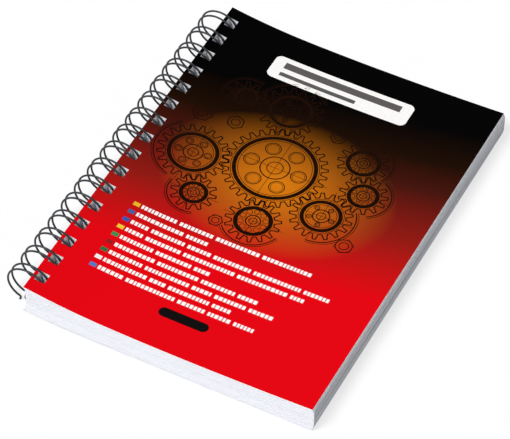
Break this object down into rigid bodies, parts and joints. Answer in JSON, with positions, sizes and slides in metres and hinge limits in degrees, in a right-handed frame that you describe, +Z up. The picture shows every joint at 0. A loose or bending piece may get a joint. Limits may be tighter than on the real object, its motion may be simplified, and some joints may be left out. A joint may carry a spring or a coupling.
{
  "type": "wire-bound manual",
  "caption": "Closed A5 manual: white punched leaves between card covers on a black twin-loop wire along the left edge, about which covers and leaves turn.",
  "frame": {"origin": "middle of the closed book's footprint, on the surface it lies on", "axes": "+X from the bound edge to the fore-edge, +Y along the bound edge to the top of the page, +Z up out of the front cover"},
  "size_m": [0.1624, 0.21, 0.021],
  "materials": {
    "cover_print": "gloss laminated print",
    "cover_back": "matt white card",
    "paper": "uncoated white paper",
    "wire": "black nylon coating"
  },
  "bodies": {
    "binding": {"twin_loop_wire": "wire", "back_cover": "cover_back"},
    "leaves_01": {"leaf_bundle_01": "paper"},
    "leaves_02": {"leaf_bundle_02": "paper"},
    "leaves_03": {"leaf_bundle_03": "paper"},
    "leaves_04": {"leaf_bundle_04": "paper"},
    "leaves_05": {"leaf_bundle_05": "paper"},
    "leaves_06": {"leaf_bundle_06": "paper"},
    "leaves_07": {"leaf_bundle_07": "paper"},
    "leaves_08": {"leaf_bundle_08": "paper"},
    "leaves_09": {"leaf_bundle_09": "paper"},
    "leaves_10": {"leaf_bundle_10": "paper"},
    "leaves_11": {"leaf_bundle_11": "paper"},
    "leaves_12": {"leaf_bundle_12": "paper"},
    "leaves_13": {"leaf_bundle_13": "paper"},
    "leaves_14": {"leaf_bundle_14": "paper"},
    "leaves_15": {"leaf_bundle_15": "paper"},
    "leaves_16": {"leaf_bundle_16": "paper"},
    "leaves_17": {"leaf_bundle_17": "paper"},
    "leaves_18": {"leaf_bundle_18": "paper"},
    "front": {"front_cover": "cover_print"}
  },
  "joints": [
    {"name": "turn_leaves_01", "type": "hinge", "parent": "binding", "child": "leaves_01", "pos_m": [-0.07067, 0, 0.0105], "axis": [0, -1, 0], "range_deg": [0, 180]},
    {"name": "turn_leaves_02", "type": "hinge", "parent": "leaves_01", "child": "leaves_02", "pos_m": [-0.07067, 0, 0.0105], "axis": [0, -1, 0], "range_deg": [0, 180]},
    {"name": "turn_leaves_03", "type": "hinge", "parent": "leaves_02", "child": "leaves_03", "pos_m": [-0.07067, 0, 0.0105], "axis": [0, -1, 0], "range_deg": [0, 180]},
    {"name": "turn_leaves_04", "type": "hinge", "parent": "leaves_03", "child": "leaves_04", "pos_m": [-0.07067, 0, 0.0105], "axis": [0, -1, 0], "range_deg": [0, 180]},
    {"name": "turn_leaves_05", "type": "hinge", "parent": "leaves_04", "child": "leaves_05", "pos_m": [-0.07067, 0, 0.0105], "axis": [0, -1, 0], "range_deg": [0, 180]},
    {"name": "turn_leaves_06", "type": "hinge", "parent": "leaves_05", "child": "leaves_06", "pos_m": [-0.07067, 0, 0.0105], "axis": [0, -1, 0], "range_deg": [0, 180]},
    {"name": "turn_leaves_07", "type": "hinge", "parent": "leaves_06", "child": "leaves_07", "pos_m": [-0.07067, 0, 0.0105], "axis": [0, -1, 0], "range_deg": [0, 180]},
    {"name": "turn_leaves_08", "type": "hinge", "parent": "leaves_07", "child": "leaves_08", "pos_m": [-0.07067, 0, 0.0105], "axis": [0, -1, 0], "range_deg": [0, 180]},
    {"name": "turn_leaves_09", "type": "hinge", "parent": "leaves_08", "child": "leaves_09", "pos_m": [-0.07067, 0, 0.0105], "axis": [0, -1, 0], "range_deg": [0, 180]},
    {"name": "turn_leaves_10", "type": "hinge", "parent": "leaves_09", "child": "leaves_10", "pos_m": [-0.07067, 0, 0.0105], "axis": [0, -1, 0], "range_deg": [0, 180]},
    {"name": "turn_leaves_11", "type": "hinge", "parent": "leaves_10", "child": "leaves_11", "pos_m": [-0.07067, 0, 0.0105], "axis": [0, -1, 0], "range_deg": [0, 180]},
    {"name": "turn_leaves_12", "type": "hinge", "parent": "leaves_11", "child": "leaves_12", "pos_m": [-0.07067, 0, 0.0105], "axis": [0, -1, 0], "range_deg": [0, 180]},
    {"name": "turn_leaves_13", "type": "hinge", "parent": "leaves_12", "child": "leaves_13", "pos_m": [-0.07067, 0, 0.0105], "axis": [0, -1, 0], "range_deg": [0, 180]},
    {"name": "turn_leaves_14", "type": "hinge", "parent": "leaves_13", "child": "leaves_14", "pos_m": [-0.07067, 0, 0.0105], "axis": [0, -1, 0], "range_deg": [0, 180]},
    {"name": "turn_leaves_15", "type": "hinge", "parent": "leaves_14", "child": "leaves_15", "pos_m": [-0.07067, 0, 0.0105], "axis": [0, -1, 0], "range_deg": [0, 180]},
    {"name": "turn_leaves_16", "type": "hinge", "parent": "leaves_15", "child": "leaves_16", "pos_m": [-0.07067, 0, 0.0105], "axis": [0, -1, 0], "range_deg": [0, 180]},
    {"name": "turn_leaves_17", "type": "hinge", "parent": "leaves_16", "child": "leaves_17", "pos_m": [-0.07067, 0, 0.0105], "axis": [0, -1, 0], "range_deg": [0, 180]},
    {"name": "turn_leaves_18", "type": "hinge", "parent": "leaves_17", "child": "leaves_18", "pos_m": [-0.07067, 0, 0.0105], "axis": [0, -1, 0], "range_deg": [0, 180]},
    {"name": "open_front", "type": "hinge", "parent": "leaves_18", "child": "front", "pos_m": [-0.07067, 0, 0.0105], "axis": [0, -1, 0], "range_deg": [0, 180]}
  ]
}
